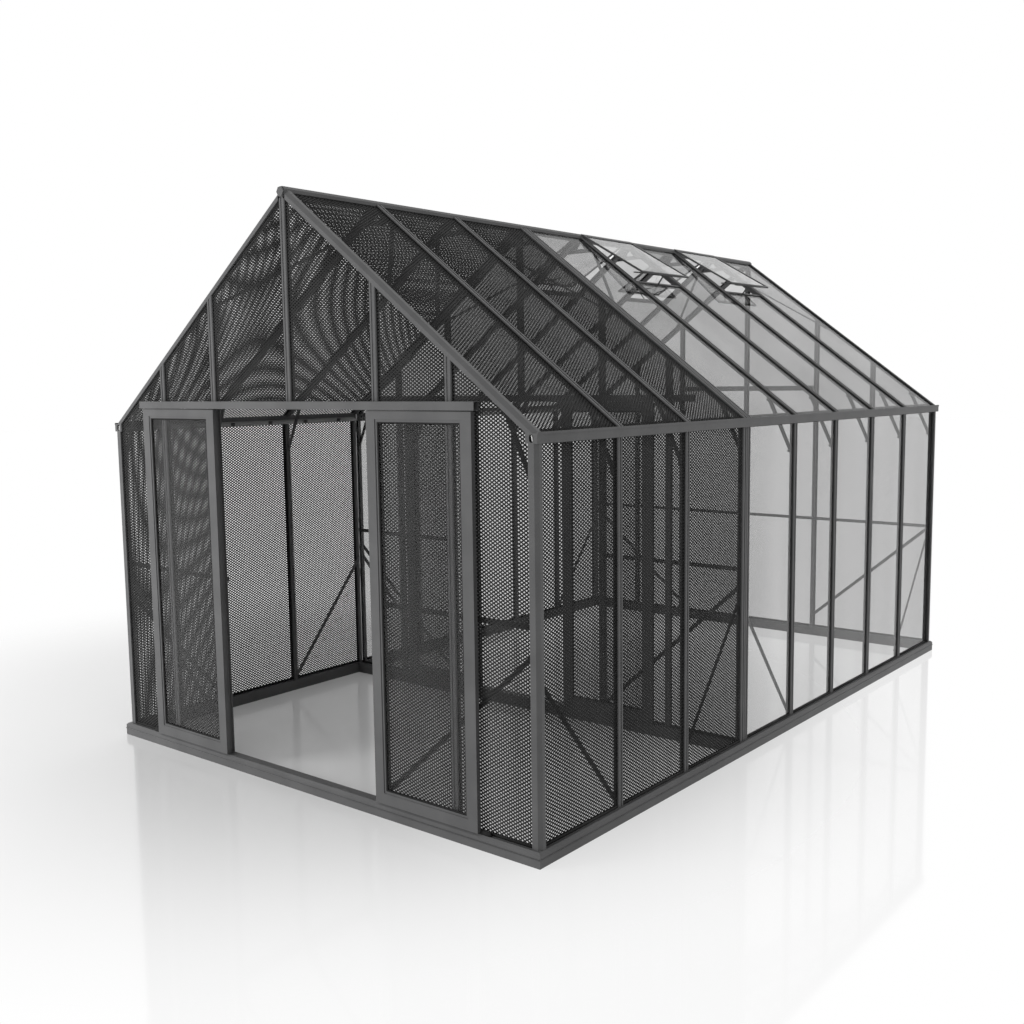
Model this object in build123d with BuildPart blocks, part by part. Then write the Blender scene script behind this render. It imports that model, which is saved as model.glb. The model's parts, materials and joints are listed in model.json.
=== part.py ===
"""Gable-roofed greenhouse: a three-bay mesh porch bolted to a five-bay glass house.

Millimetres, +Z up. X runs across the width, Y along the length and the front gable faces -Y.
The origin is on the ground under the middle of the house. A plinth carries corner posts and
wall posts, the posts carry two gutters, and pairs of rafters lean on a ridge beam. Mesh and
glass sheets lie behind the caps of those bars. Two pairs of sliding doors hang from tracks,
one pair on the front gable and one on the glazed partition between porch and glass house.
"""
import os
from math import atan2, cos, degrees, radians, sin, sqrt, tan

from build123d import *

# Overall sizes
base_width = 3250.0
base_length = 5100.0
base_height = 72.0
base_bevel = 10.0
wall_inset = 24.0
eaves_height = 1928.0
ridge_height = 3142.0

# Bays, counted along Y from the joint between porch and glass house
porch_length = 1947.0
porch_bays = 3
glass_bays = 5
twin_post_spacing = 44.0
end_bay_extra = 30.0

# Glazing bar: a bevelled cap outside with a groove, a web, and a bead on the inner edge
bar_width = 42.0
bar_depth = 38.0
cap_depth = 10.0
cap_bevel = 4.0
web_width = 12.0
bead_width = 24.0
bead_depth = 8.0
groove_width = 12.0
groove_depth = 3.0

# Corner bar: two flanges joined by a bevel, with a fixing tube in the inner corner
corner_bevel = 17.0
corner_tube = 22.0
corner_web = 8.0
corner_out = 12.0

# Gutters and ridge
gutter_inset = 10.0
gutter_width = 66.0
gutter_height = 45.0
gutter_wall = 3.0
gutter_cap = 4.0
gutter_slot_width = 24.0
gutter_slot_height = 36.0
gutter_lip_height = 12.0
gutter_lip_out = 3.0
gutter_lip_rise = 6.0
gutter_back_rise = 14.0
ridge_half_width = 26.0
ridge_depth = 52.0
ridge_crown = 12.0
ridge_shoulder = 14.0
ridge_cap_depth = 8.0

# Sheets, and the coarse grid of openings that stands for the weave of the mesh ones
sheet_thickness = 4.0
sheet_play = 2.0
sheet_lap = 8.0
mesh_pitch = 290.0
mesh_rib = 90.0

# Gable bars, headers, rails and braces
jamb_place = 632.0
side_bar_place = 1106.0
header_height = 40.0
header_depth = 36.0
header_bottom = 2024.0
back_header_bottom = 2050.0
mid_rail_height = 1070.0
back_rail_height = 993.0
flat_width = 24.0
flat_thickness = 5.0
wall_brace_top = 870.0
wall_brace_foot = 105.0
gable_brace_top = 950.0
gable_brace_foot = 125.0
back_brace_top = 960.0
back_brace_foot = 166.0
roof_brace_top = 190.0
roof_brace_foot = 926.0
knee_foot = 1690.0
knee_width = 52.0
knee_reach = 165.0
knee_head = 44.0
knee_thickness = 6.0
gusset_drop = 127.0
gusset_thickness = 4.0
gusset_rim = 28.0
gusset_hole_half = 32.0
gusset_neck = 10.0

# Sliding doors
leaf_width = 668.0
leaf_thickness = 24.0
leaf_clearance = 6.0
stile_width = 70.0
top_rail = 50.0
bottom_rail = 68.0
leaf_bead = 12.0
leaf_step = 4.0
front_leaf_open = 600.0
partition_leaf_open = 350.0
track_length = 2580.0
track_wall = 3.0
track_slot = 14.0
hanger_length = 60.0
hanger_thickness = 4.0
hanger_inset = 120.0
wheel_radius = 11.0
wheel_width = 8.0
wheel_gap = 0.3

# Roof vents, propped ajar in every other glass bay of both slopes
vent_length = 545.0
vent_bar = 14.0
vent_thickness = 12.0
vent_gap = 8.0
vent_opening = 7.0
vent_rise = 2.0
vent_hinge_gap = 0.3
vent_sill_width = 25.0
vent_sill_depth = 20.0
stay_width = 12.0
stay_thickness = 5.0

# Places worked out from the sizes
half_width = base_width / 2
half_length = base_length / 2
side_face = half_width - wall_inset
corner_face = side_face + corner_out
gable_face = half_length - wall_inset
bar_inner = side_face - bar_depth
base_depth = half_width - bar_inner
porch_end = porch_length - half_length
glass_start = porch_end + twin_post_spacing
porch_pitch = (porch_end + gable_face - end_bay_extra) / porch_bays
glass_pitch = (gable_face - end_bay_extra - glass_start) / glass_bays
porch_posts = [porch_end - porch_pitch * i for i in range(porch_bays - 1, -1, -1)]
glass_posts = [glass_start + glass_pitch * i for i in range(glass_bays)]
post_places = porch_posts + glass_posts
vent_bays = range(1, glass_bays, 2)
gutter_outer = half_width - gutter_inset
gutter_inner = gutter_outer - gutter_width
post_top = eaves_height - gutter_height
pitch = atan2(ridge_height - eaves_height, gutter_outer)
roof_slope = tan(pitch)
bar_rise = bar_depth / cos(pitch)
track_depth = 2 * leaf_clearance + leaf_thickness
track_top = header_bottom + header_height
gutter_back = gable_face + track_depth
partition_face = porch_end - sheet_thickness / 2 - cap_depth

up = Vector(0, 0, 1)
right = Vector(1, 0, 0)
front = Vector(0, -1, 0)
roof_out = Vector(sin(pitch), 0, cos(pitch))
down_slope = Vector(cos(pitch), 0, -sin(pitch))
right_roof = Plane(origin=(0, 0, ridge_height), x_dir=(0, 1, 0), z_dir=roof_out)
left_roof = Plane(origin=(0, 0, ridge_height), x_dir=(0, 1, 0), z_dir=(-sin(pitch), 0, cos(pitch)))


def roof_height(x):
    """Height of the outer roof line at a distance x from the middle."""
    return ridge_height - roof_slope * abs(x)


def bar_section(at, outward, along):
    """Section of a glazing bar whose cap faces outward, with the cap's middle at a point."""
    with BuildSketch(Plane(origin=at, x_dir=outward.cross(along), z_dir=along)) as section:
        Rectangle(bar_width, cap_depth, align=(Align.CENTER, Align.MAX))
        chamfer(section.vertices().group_by(Axis.Y)[-1], cap_bevel)
        Rectangle(web_width, bar_depth, align=(Align.CENTER, Align.MAX))
        with Locations((0, -bar_depth)):
            Rectangle(bead_width, bead_depth, align=(Align.CENTER, Align.MIN))
        Rectangle(groove_width, groove_depth, align=(Align.CENTER, Align.MAX), mode=Mode.SUBTRACT)
    return section.sketch


def corner_section(at, face_a, face_b, reach):
    """Section of a corner bar with flanges facing face_a and face_b, reaching behind face_a."""
    inner_bevel = corner_bevel + cap_depth * (sqrt(2) - 1)
    with BuildSketch(Plane(origin=at, x_dir=face_a, z_dir=face_a.cross(face_b))) as section:
        with BuildLine():
            Polyline(
                (0, -bar_depth),
                (0, -corner_bevel),
                (-corner_bevel, 0),
                (-reach, 0),
                (-reach, -cap_depth),
                (-inner_bevel, -cap_depth),
                (-cap_depth, -inner_bevel),
                (-cap_depth, -bar_depth),
                close=True,
            )
        make_face()
        with Locations((-reach, -bar_depth)):
            Rectangle(corner_tube, corner_tube, align=Align.MIN)
        with Locations((corner_tube - reach, corner_tube - bar_depth)):
            Rectangle(reach - corner_tube - cap_depth, corner_web, align=(Align.MIN, Align.MAX))
    return section.sketch


def spans(places, margin):
    """Middle and width of each space between neighbouring places, less a margin at both ends."""
    return [((a + b) / 2, b - a - 2 * margin) for a, b in zip(places, places[1:])]


# Plinth: four mitred rails and a sill under the partition
with BuildPart() as base_right:
    with BuildSketch(Plane.XZ.offset(-half_length)):
        with BuildLine():
            Polyline(
                (half_width, 0),
                (half_width, base_height - base_bevel),
                (half_width - base_bevel, base_height),
                (bar_inner, base_height),
                (bar_inner, 0),
                close=True,
            )
        make_face()
    extrude(amount=base_length)
    split(bisect_by=Plane((half_width, -half_length, 0), z_dir=(1, 1, 0)), keep=Keep.TOP)
    split(bisect_by=Plane((half_width, half_length, 0), z_dir=(1, -1, 0)), keep=Keep.TOP)
with BuildPart() as base_left:
    mirror(base_right.part, about=Plane.YZ)
with BuildPart() as base_front:
    with BuildSketch(Plane.YZ.offset(-half_width)):
        with BuildLine():
            Polyline(
                (-half_length, 0),
                (-half_length, base_height - base_bevel),
                (-half_length + base_bevel, base_height),
                (-half_length + base_depth, base_height),
                (-half_length + base_depth, 0),
                close=True,
            )
        make_face()
    extrude(amount=base_width)
    split(bisect_by=Plane((half_width, -half_length, 0), z_dir=(1, 1, 0)), keep=Keep.BOTTOM)
    split(bisect_by=Plane((-half_width, -half_length, 0), z_dir=(-1, 1, 0)), keep=Keep.BOTTOM)
with BuildPart() as base_back:
    mirror(base_front.part, about=Plane.XZ)
with BuildPart() as partition_sill:
    with BuildSketch(Plane.XY):
        with Locations((0, porch_end)):
            Rectangle(2 * bar_inner, base_depth)
    extrude(amount=base_height)

# Posts
post_height = post_top - base_height
with BuildPart() as corner_posts:
    corner = corner_section((corner_face, -gable_face, base_height), right, front, corner_face - bar_inner)
    extrude(corner, post_height, dir=up)
    mirror(about=Plane.YZ)
    mirror(about=Plane.XZ)
with BuildPart() as right_wall_posts:
    for y in post_places:
        extrude(bar_section((side_face, y, base_height), right, up), post_height)
with BuildPart() as left_wall_posts:
    mirror(right_wall_posts.part, about=Plane.YZ)

# Gutters: open channels with a lip outside and a higher back, closed at both ends by slotted plates
with BuildPart() as right_gutter:
    with BuildSketch(Plane.XZ.offset(gable_face)):
        with Locations((gutter_inner, eaves_height)):
            Rectangle(gutter_width, gutter_height, align=(Align.MIN, Align.MAX))
        with Locations((gutter_inner + gutter_wall, eaves_height)):
            Rectangle(
                gutter_width - 2 * gutter_wall,
                gutter_height - gutter_wall,
                align=(Align.MIN, Align.MAX),
                mode=Mode.SUBTRACT,
            )
        with Locations((gutter_inner, eaves_height)):
            Rectangle(gutter_wall, gutter_back_rise, align=Align.MIN)
        with Locations((gutter_outer - gutter_wall, eaves_height + gutter_lip_rise)):
            Rectangle(gutter_wall + gutter_lip_out, gutter_lip_height, align=(Align.MIN, Align.MAX))
    extrude(amount=-(gutter_back + gable_face))
    for end in (gable_face, -gutter_back + gutter_cap):
        with BuildSketch(Plane.XZ.offset(end)):
            with Locations((gutter_inner, eaves_height)):
                Rectangle(gutter_width, gutter_height, align=(Align.MIN, Align.MAX))
            with Locations((gutter_inner + gutter_width / 2, eaves_height - gutter_height / 2)):
                SlotOverall(gutter_slot_height, gutter_slot_width, rotation=90, mode=Mode.SUBTRACT)
        extrude(amount=-gutter_cap)
with BuildPart() as left_gutter:
    mirror(right_gutter.part, about=Plane.YZ)

# Ridge: an eight-sided beam with a cap on each end
with BuildPart() as ridge_beam:
    with BuildSketch(Plane.XZ):
        with BuildLine():
            Polyline(
                (-ridge_crown, ridge_height),
                (ridge_crown, ridge_height),
                (ridge_half_width, ridge_height - ridge_shoulder),
                (ridge_half_width, ridge_height - ridge_depth + ridge_shoulder),
                (ridge_crown, ridge_height - ridge_depth),
                (-ridge_crown, ridge_height - ridge_depth),
                (-ridge_half_width, ridge_height - ridge_depth + ridge_shoulder),
                (-ridge_half_width, ridge_height - ridge_shoulder),
                close=True,
            )
        make_face()
    extrude(amount=gable_face, both=True)
with BuildPart() as ridge_end_caps:
    with BuildSketch(Plane.XZ.offset(gable_face)):
        with Locations((0, ridge_height - ridge_depth / 2)):
            RegularPolygon(ridge_depth / 2, side_count=6)
    extrude(amount=ridge_cap_depth)
    mirror(about=Plane.XZ)

# Rafters, notched over the gutters and cut plumb against the ridge
rafter_length = (gutter_outer - sheet_lap) / cos(pitch)
with BuildSketch(Plane.XZ) as gutter_notch:
    with Locations((gutter_inner, eaves_height)):
        Rectangle(half_width, half_width, align=(Align.MIN, Align.MAX))
        Rectangle(gutter_wall, gutter_back_rise, align=Align.MIN)
with BuildPart() as right_rafters:
    for y in post_places:
        extrude(bar_section((0, y, ridge_height), roof_out, down_slope), rafter_length)
    split(bisect_by=Plane.YZ.offset(ridge_half_width), keep=Keep.TOP)
    extrude(gutter_notch.sketch, half_length, both=True, mode=Mode.SUBTRACT)
with BuildPart() as left_rafters:
    mirror(right_rafters.part, about=Plane.YZ)
with BuildPart() as gable_rafters:
    edge = corner_section((0, -gable_face, ridge_height), roof_out, front, bar_depth)
    extrude(edge, rafter_length, dir=down_slope)
    split(bisect_by=Plane.YZ.offset(ridge_half_width), keep=Keep.TOP)
    extrude(gutter_notch.sketch, base_length, both=True, mode=Mode.SUBTRACT)
    mirror(about=Plane.YZ)
    mirror(about=Plane.XZ)

# Gable bars, cut to the underside of the roof, and the headers between them
side_bars = [-side_bar_place, -jamb_place, jamb_place, side_bar_place]
with BuildPart() as front_gable_bars:
    for x in side_bars:
        extrude(bar_section((x, -gable_face, base_height), front, up), ridge_height)
    extrude(bar_section((0, -gable_face, track_top), front, up), ridge_height)
    split(bisect_by=right_roof.offset(-bar_depth), keep=Keep.BOTTOM)
    split(bisect_by=left_roof.offset(-bar_depth), keep=Keep.BOTTOM)
    split(bisect_by=Plane.XY.offset(ridge_height - ridge_depth), keep=Keep.BOTTOM)
with BuildPart() as back_gable_bars:
    for x in side_bars + [0]:
        extrude(bar_section((x, gable_face, base_height), -front, up), ridge_height)
    split(bisect_by=right_roof.offset(-bar_depth), keep=Keep.BOTTOM)
    split(bisect_by=left_roof.offset(-bar_depth), keep=Keep.BOTTOM)
    split(bisect_by=Plane.XY.offset(ridge_height - ridge_depth), keep=Keep.BOTTOM)
with BuildPart() as partition_bars:
    for x in side_bars:
        extrude(bar_section((x, partition_face, base_height), front, up), ridge_height)
    extrude(bar_section((0, partition_face, track_top), front, up), ridge_height)
    split(bisect_by=right_roof.offset(-bar_depth), keep=Keep.BOTTOM)
    split(bisect_by=left_roof.offset(-bar_depth), keep=Keep.BOTTOM)
    split(bisect_by=Plane.XY.offset(ridge_height - ridge_depth), keep=Keep.BOTTOM)
header_reach = jamb_place - bar_width / 2
with BuildPart() as gable_headers:
    for face in (gable_face, -partition_face):
        with BuildSketch(Plane.XZ.offset(face)):
            with Locations((0, header_bottom)):
                Rectangle(2 * header_reach, header_height, align=(Align.CENTER, Align.MIN))
        extrude(amount=-header_depth)
    with BuildSketch(Plane.XZ.offset(-gable_face)):
        with Locations((bar_width / 2, back_header_bottom)):
            Rectangle(header_reach - bar_width / 2, header_height, align=Align.MIN)
        with Locations((-bar_width / 2, back_header_bottom)):
            Rectangle(header_reach - bar_width / 2, header_height, align=(Align.MAX, Align.MIN))
    extrude(amount=header_depth)

# Flat rails and diagonal wind braces on the inner edges of the bars
tube_reach = bar_inner + corner_tube
with BuildPart() as mid_rails:
    for face, reach in ((gable_face, tube_reach), (-partition_face, bar_inner)):
        with BuildSketch(Plane.XZ.offset(face - bar_depth)):
            for side in (Align.MIN, Align.MAX):
                edge_x = header_reach if side == Align.MIN else -header_reach
                with Locations((edge_x, mid_rail_height)):
                    Rectangle(reach - header_reach, flat_width, align=(side, Align.CENTER))
        extrude(amount=-flat_thickness)
    with BuildSketch(Plane.XZ.offset(bar_depth - gable_face)):
        with Locations((0, back_rail_height)):
            Rectangle(2 * tube_reach, flat_width)
    extrude(amount=flat_thickness)

corner_y = gable_face - bar_depth + corner_tube / 2
wall_braces = [
    (-corner_y, porch_posts[0]),
    (porch_end, porch_posts[1]),
    (glass_start, glass_posts[1]),
    (corner_y, glass_posts[-1]),
]
roof_braces = [
    (-corner_y, porch_posts[0]),
    (partition_face + cap_depth - sheet_play, porch_posts[1]),
    (glass_start, glass_posts[1]),
    (corner_y, glass_posts[-1]),
]


def flat_bar(plane, start, end):
    """Outline of a flat that runs from one point to another and is cut upright at both ends."""
    run, rise = end[0] - start[0], end[1] - start[1]
    half = flat_width * sqrt(run**2 + rise**2) / abs(run) / 2
    with BuildSketch(plane) as outline:
        with BuildLine():
            Polyline(
                (start[0], start[1] - half),
                (start[0], start[1] + half),
                (end[0], end[1] + half),
                (end[0], end[1] - half),
                close=True,
            )
        make_face()
    return outline.sketch


with BuildPart() as wind_braces:
    for high_y, low_y in wall_braces:
        wall_plane = Plane.YZ.offset(bar_inner)
        extrude(flat_bar(wall_plane, (high_y, wall_brace_top), (low_y, wall_brace_foot)), -flat_thickness)
    for face, foot, reach, top, thickness in (
        (gable_face - bar_depth, gable_brace_foot, tube_reach, gable_brace_top, -flat_thickness),
        (-partition_face - bar_depth, gable_brace_foot, bar_inner, gable_brace_top, -flat_thickness),
        (bar_depth - gable_face, back_brace_foot, tube_reach, back_brace_top, flat_thickness),
    ):
        gable_plane = Plane.XZ.offset(face)
        extrude(flat_bar(gable_plane, (jamb_place, foot), (reach - flat_width, top)), thickness)
    for low_y, high_y in roof_braces:
        roof_plane = right_roof.offset(-bar_depth)
        extrude(flat_bar(roof_plane, (low_y, -roof_brace_foot), (high_y, -roof_brace_top)), -flat_thickness)
    mirror(about=Plane.YZ)

# Knee braces at the eaves and gussets under the ridge
open_frames = [y for y in post_places if y != porch_end]
frame_places = [-corner_y] + open_frames + [corner_y]
with BuildPart() as eave_braces:
    for y in frame_places:
        with BuildSketch(Plane.XZ.offset(-y)):
            head_x = bar_inner - knee_reach
            with BuildLine():
                Polyline(
                    (bar_inner, knee_foot),
                    (bar_inner, knee_foot + knee_width),
                    (head_x + knee_head, roof_height(head_x + knee_head) - bar_rise),
                    (head_x, roof_height(head_x) - bar_rise),
                    close=True,
                )
            make_face()
        extrude(amount=knee_thickness / 2, both=True)
    mirror(about=Plane.YZ)
gusset_top = cap_depth + sheet_thickness + sheet_play
gusset_apex = ridge_height - gusset_top / cos(pitch)
gusset_low = ridge_height - gusset_drop
gusset_half = (gusset_apex - gusset_low) / roof_slope
with BuildPart() as ridge_gussets:
    for y in open_frames:
        with BuildSketch(Plane.XZ.offset(-y - bead_width / 2)):
            with BuildLine():
                Polyline(
                    (-gusset_half, gusset_low), (gusset_half, gusset_low), (0, gusset_apex), close=True
                )
            make_face()
            with BuildLine():
                Polyline(
                    (-gusset_hole_half, gusset_low + gusset_rim),
                    (gusset_hole_half, gusset_low + gusset_rim),
                    (0, ridge_height - ridge_depth - gusset_neck),
                    close=True,
                )
            make_face(mode=Mode.SUBTRACT)
            with Locations((0, ridge_height - ridge_depth)):
                Rectangle(
                    2 * ridge_half_width, ridge_depth, align=(Align.CENTER, Align.MIN), mode=Mode.SUBTRACT
                )
        extrude(amount=-gusset_thickness)

# Mesh and glass sheets, held behind the caps of the bars
sheet_margin = web_width / 2 + sheet_play
corner_margin = bar_depth - sheet_lap
sheet_face = side_face - cap_depth
front_edge = -gable_face + corner_margin - sheet_margin
back_edge = gable_face - corner_margin + sheet_margin
porch_spans = spans([front_edge] + porch_posts, sheet_margin)
glass_spans = spans(glass_posts + [back_edge], sheet_margin)


def mesh_openings(plane, panels):
    """Openings of the mesh panels on a plane, each given by its middle, width, foot and head."""
    with BuildSketch(plane) as openings:
        for middle, width, foot, head in panels:
            columns = max(1, round(width / mesh_pitch))
            rows = max(1, round((head - foot) / mesh_pitch))
            across, rise = width / columns, (head - foot) / rows
            with Locations((middle, (foot + head) / 2)):
                with GridLocations(across, rise, columns, rows):
                    Rectangle(across - mesh_rib, rise - mesh_rib)
    return openings.sketch


with BuildPart() as right_wall_mesh:
    mesh_plane = Plane.YZ.offset(sheet_face)
    with BuildSketch(mesh_plane):
        for middle, width in porch_spans:
            with Locations((middle, base_height)):
                Rectangle(width, post_height, align=(Align.CENTER, Align.MIN))
    extrude(amount=-sheet_thickness)
    wall_panels = [(middle, width, base_height, post_top) for middle, width in porch_spans]
    extrude(mesh_openings(mesh_plane, wall_panels), -sheet_thickness, mode=Mode.SUBTRACT)
with BuildPart() as left_wall_mesh:
    mirror(right_wall_mesh.part, about=Plane.YZ)
with BuildPart() as right_wall_glass:
    with BuildSketch(Plane.YZ.offset(sheet_face)):
        for middle, width in glass_spans:
            with Locations((middle, base_height)):
                Rectangle(width, post_height, align=(Align.CENTER, Align.MIN))
    extrude(amount=-sheet_thickness)
with BuildPart() as left_wall_glass:
    mirror(right_wall_glass.part, about=Plane.YZ)

sheet_top = (ridge_half_width + (cap_depth + sheet_thickness) * sin(pitch)) / cos(pitch) + sheet_play
sheet_low = (gutter_outer - gutter_wall) / cos(pitch)
vent_sill_low = vent_length + vent_sill_width
with BuildPart() as right_roof_mesh:
    mesh_plane = right_roof.offset(-cap_depth)
    with BuildSketch(mesh_plane):
        for middle, width in porch_spans:
            with Locations((middle, -sheet_top)):
                Rectangle(width, sheet_low - sheet_top, align=(Align.CENTER, Align.MAX))
    extrude(amount=-sheet_thickness)
    roof_panels = [(middle, width, -sheet_low, -sheet_top) for middle, width in porch_spans]
    extrude(mesh_openings(mesh_plane, roof_panels), -sheet_thickness, mode=Mode.SUBTRACT)
with BuildPart() as left_roof_mesh:
    mirror(right_roof_mesh.part, about=Plane.YZ)
with BuildPart() as right_roof_glass:
    with BuildSketch(right_roof.offset(-cap_depth)):
        for bay, (middle, width) in enumerate(glass_spans):
            top = vent_sill_low if bay in vent_bays else sheet_top
            with Locations((middle, -top)):
                Rectangle(width, sheet_low - top, align=(Align.CENTER, Align.MAX))
    extrude(amount=-sheet_thickness)
with BuildPart() as left_roof_glass:
    mirror(right_roof_glass.part, about=Plane.YZ)

gable_edge = bar_inner + sheet_lap + sheet_margin
ridge_foot = ridge_height - ridge_depth - sheet_play


def eaves_notch(face):
    """Corner of a gable sheet that is cut away beside the gutter."""
    with BuildSketch(Plane.XZ.offset(face)) as notch:
        with Locations((gutter_inner - sheet_play, post_top - sheet_play)):
            Rectangle(half_width, ridge_height, align=Align.MIN)
    return notch.sketch


def gable_panel(middle, width, foot):
    """Upright part of a gable sheet, from its foot to where the roof meets its outer edge."""
    return middle, width, foot, roof_height(middle + width / 2) - corner_margin / cos(pitch)


outer_spans = spans([jamb_place, side_bar_place, gable_edge], sheet_margin)
upper_span = spans([0, jamb_place], sheet_margin)[0]
with BuildPart() as front_gable_mesh:
    mesh_plane = Plane.XZ.offset(gable_face - cap_depth)
    with BuildSketch(mesh_plane):
        for middle, width in outer_spans:
            with Locations((middle, base_height)):
                Rectangle(width, ridge_height, align=(Align.CENTER, Align.MIN))
        with Locations((upper_span[0], track_top)):
            Rectangle(upper_span[1], ridge_height, align=(Align.CENTER, Align.MIN))
    extrude(amount=-sheet_thickness)
    split(bisect_by=right_roof.offset(-corner_margin), keep=Keep.BOTTOM)
    split(bisect_by=Plane.XY.offset(ridge_foot), keep=Keep.BOTTOM)
    extrude(eaves_notch(gable_face - cap_depth), -sheet_thickness, mode=Mode.SUBTRACT)
    gable_panels = [gable_panel(*span, base_height) for span in outer_spans]
    gable_panels.append(gable_panel(*upper_span, track_top))
    extrude(mesh_openings(mesh_plane, gable_panels), -sheet_thickness, mode=Mode.SUBTRACT)
    mirror(about=Plane.YZ)
with BuildPart() as back_gable_glass:
    with BuildSketch(Plane.XZ.offset(cap_depth - gable_face)):
        for middle, width in outer_spans:
            with Locations((middle, base_height)):
                Rectangle(width, ridge_height, align=(Align.CENTER, Align.MIN))
        with Locations((upper_span[0], base_height)):
            Rectangle(
                upper_span[1], back_header_bottom - base_height, align=(Align.CENTER, Align.MIN)
            )
        with Locations((upper_span[0], back_header_bottom + header_height)):
            Rectangle(upper_span[1], ridge_height, align=(Align.CENTER, Align.MIN))
    extrude(amount=sheet_thickness)
    split(bisect_by=right_roof.offset(-corner_margin), keep=Keep.BOTTOM)
    split(bisect_by=Plane.XY.offset(ridge_foot), keep=Keep.BOTTOM)
    extrude(eaves_notch(cap_depth - gable_face), sheet_thickness, mode=Mode.SUBTRACT)
    mirror(about=Plane.YZ)
with BuildPart() as partition_glass:
    partition_edge = bar_inner - flat_thickness - sheet_play + sheet_margin
    partition_spans = spans([jamb_place, side_bar_place, partition_edge], sheet_margin)
    with BuildSketch(Plane.XZ.offset(-partition_face - cap_depth)):
        for middle, width in partition_spans:
            with Locations((middle, base_height)):
                Rectangle(width, ridge_height, align=(Align.CENTER, Align.MIN))
        with Locations((upper_span[0], track_top)):
            Rectangle(upper_span[1], ridge_height, align=(Align.CENTER, Align.MIN))
    extrude(amount=-sheet_thickness)
    split(bisect_by=right_roof.offset(-bar_depth), keep=Keep.BOTTOM)
    extrude(eaves_notch(-partition_face - cap_depth), -sheet_thickness, mode=Mode.SUBTRACT)
    mirror(about=Plane.YZ)

# Roof vents: a sill across the bay, a sash leaning on the ridge, its pane and a stay
vent_pitch = pitch - radians(vent_opening)
hinge_x = ridge_half_width + vent_hinge_gap
hinge = Vector(hinge_x, 0, roof_height(hinge_x) + vent_rise)
vent_plane = Plane(origin=hinge, x_dir=(0, 1, 0), z_dir=(sin(vent_pitch), 0, cos(vent_pitch)))
vent_middles = [(glass_posts[bay] + glass_posts[bay + 1]) / 2 for bay in vent_bays]
vent_width = glass_pitch - vent_gap
with BuildPart() as vent_sills:
    with BuildSketch(right_roof.offset(-cap_depth)):
        for middle in vent_middles:
            with Locations((middle, -vent_length)):
                Rectangle(glass_pitch - web_width, vent_sill_width, align=(Align.CENTER, Align.MAX))
    extrude(amount=-vent_sill_depth)
    mirror(about=Plane.YZ)
with BuildPart() as vent_sashes:
    with BuildSketch(vent_plane):
        for middle in vent_middles:
            with Locations((middle, 0)):
                Rectangle(vent_width, vent_length, align=(Align.CENTER, Align.MAX))
            with Locations((middle, -vent_bar)):
                Rectangle(
                    vent_width - 2 * vent_bar,
                    vent_length - 2 * vent_bar,
                    align=(Align.CENTER, Align.MAX),
                    mode=Mode.SUBTRACT,
                )
    extrude(amount=vent_thickness)
    mirror(about=Plane.YZ)
with BuildPart() as vent_panes:
    with BuildSketch(vent_plane.offset((vent_thickness - sheet_thickness) / 2)):
        for middle in vent_middles:
            with Locations((middle, -vent_bar)):
                Rectangle(
                    vent_width - 2 * vent_bar,
                    vent_length - 2 * vent_bar,
                    align=(Align.CENTER, Align.MAX),
                )
    extrude(amount=sheet_thickness)
    mirror(about=Plane.YZ)
with BuildPart() as vent_stays:
    with BuildSketch(right_roof.offset(-cap_depth)):
        for middle in vent_middles:
            with Locations((middle, -vent_length - vent_sill_width / 2)):
                Rectangle(stay_width, stay_thickness)
    extrude(amount=vent_length)
    split(bisect_by=vent_plane, keep=Keep.BOTTOM)
    mirror(about=Plane.YZ)


def track_section(face):
    """Section of a door track fixed to a wall face: a box with a slot along its floor."""
    with BuildSketch(Plane.YZ.offset(-track_length / 2)) as section:
        with Locations((face - track_depth / 2, header_bottom)):
            Rectangle(track_depth, header_height, align=(Align.CENTER, Align.MIN))
            Rectangle(
                track_slot, track_wall, align=(Align.CENTER, Align.MIN), mode=Mode.SUBTRACT
            )
        with Locations((face - track_depth / 2, header_bottom + track_wall)):
            Rectangle(
                track_depth - 2 * track_wall,
                header_height - 2 * track_wall,
                align=(Align.CENTER, Align.MIN),
                mode=Mode.SUBTRACT,
            )
    return section.sketch


leaf_foot = base_height + leaf_clearance
leaf_height = header_bottom - leaf_clearance - leaf_foot
opening_foot = leaf_foot + bottom_rail
opening_width = leaf_width - 2 * stile_width
opening_height = leaf_height - top_rail - bottom_rail


def leaf_frame_face(face, near_x):
    """Front outline of a door leaf that starts at near_x, drawn on the leaf's back face."""
    with BuildSketch(Plane.XZ.offset(leaf_clearance - face)) as outline:
        with Locations((near_x, leaf_foot)):
            Rectangle(leaf_width, leaf_height, align=Align.MIN)
        with Locations((near_x + stile_width, opening_foot)):
            Rectangle(opening_width, opening_height, align=Align.MIN, mode=Mode.SUBTRACT)
    return outline.sketch


def leaf_step_face(face, near_x):
    """Outline of the shallow step round a leaf's opening, drawn on the floor of the step."""
    with BuildSketch(Plane.XZ.offset(leaf_clearance + leaf_thickness - leaf_step - face)) as outline:
        with Locations((near_x + stile_width - leaf_bead, opening_foot - leaf_bead)):
            Rectangle(opening_width + 2 * leaf_bead, opening_height + 2 * leaf_bead, align=Align.MIN)
    return outline.sketch


def leaf_sheet_face(face, near_x):
    """Outline of the pane that fills a leaf, drawn on the pane's back face."""
    pane_back = leaf_clearance + (leaf_thickness - sheet_thickness) / 2 - face
    with BuildSketch(Plane.XZ.offset(pane_back)) as outline:
        with Locations((near_x + stile_width, opening_foot)):
            Rectangle(opening_width, opening_height, align=Align.MIN)
    return outline.sketch


wheel_axis = header_bottom + track_wall + wheel_gap + wheel_radius
wheel_span = hanger_thickness + 2 * wheel_width


def hanger_places(near_x):
    """Middles of the two hangers of a leaf that starts at near_x."""
    return [near_x + hanger_inset, near_x + leaf_width - hanger_inset]


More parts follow.
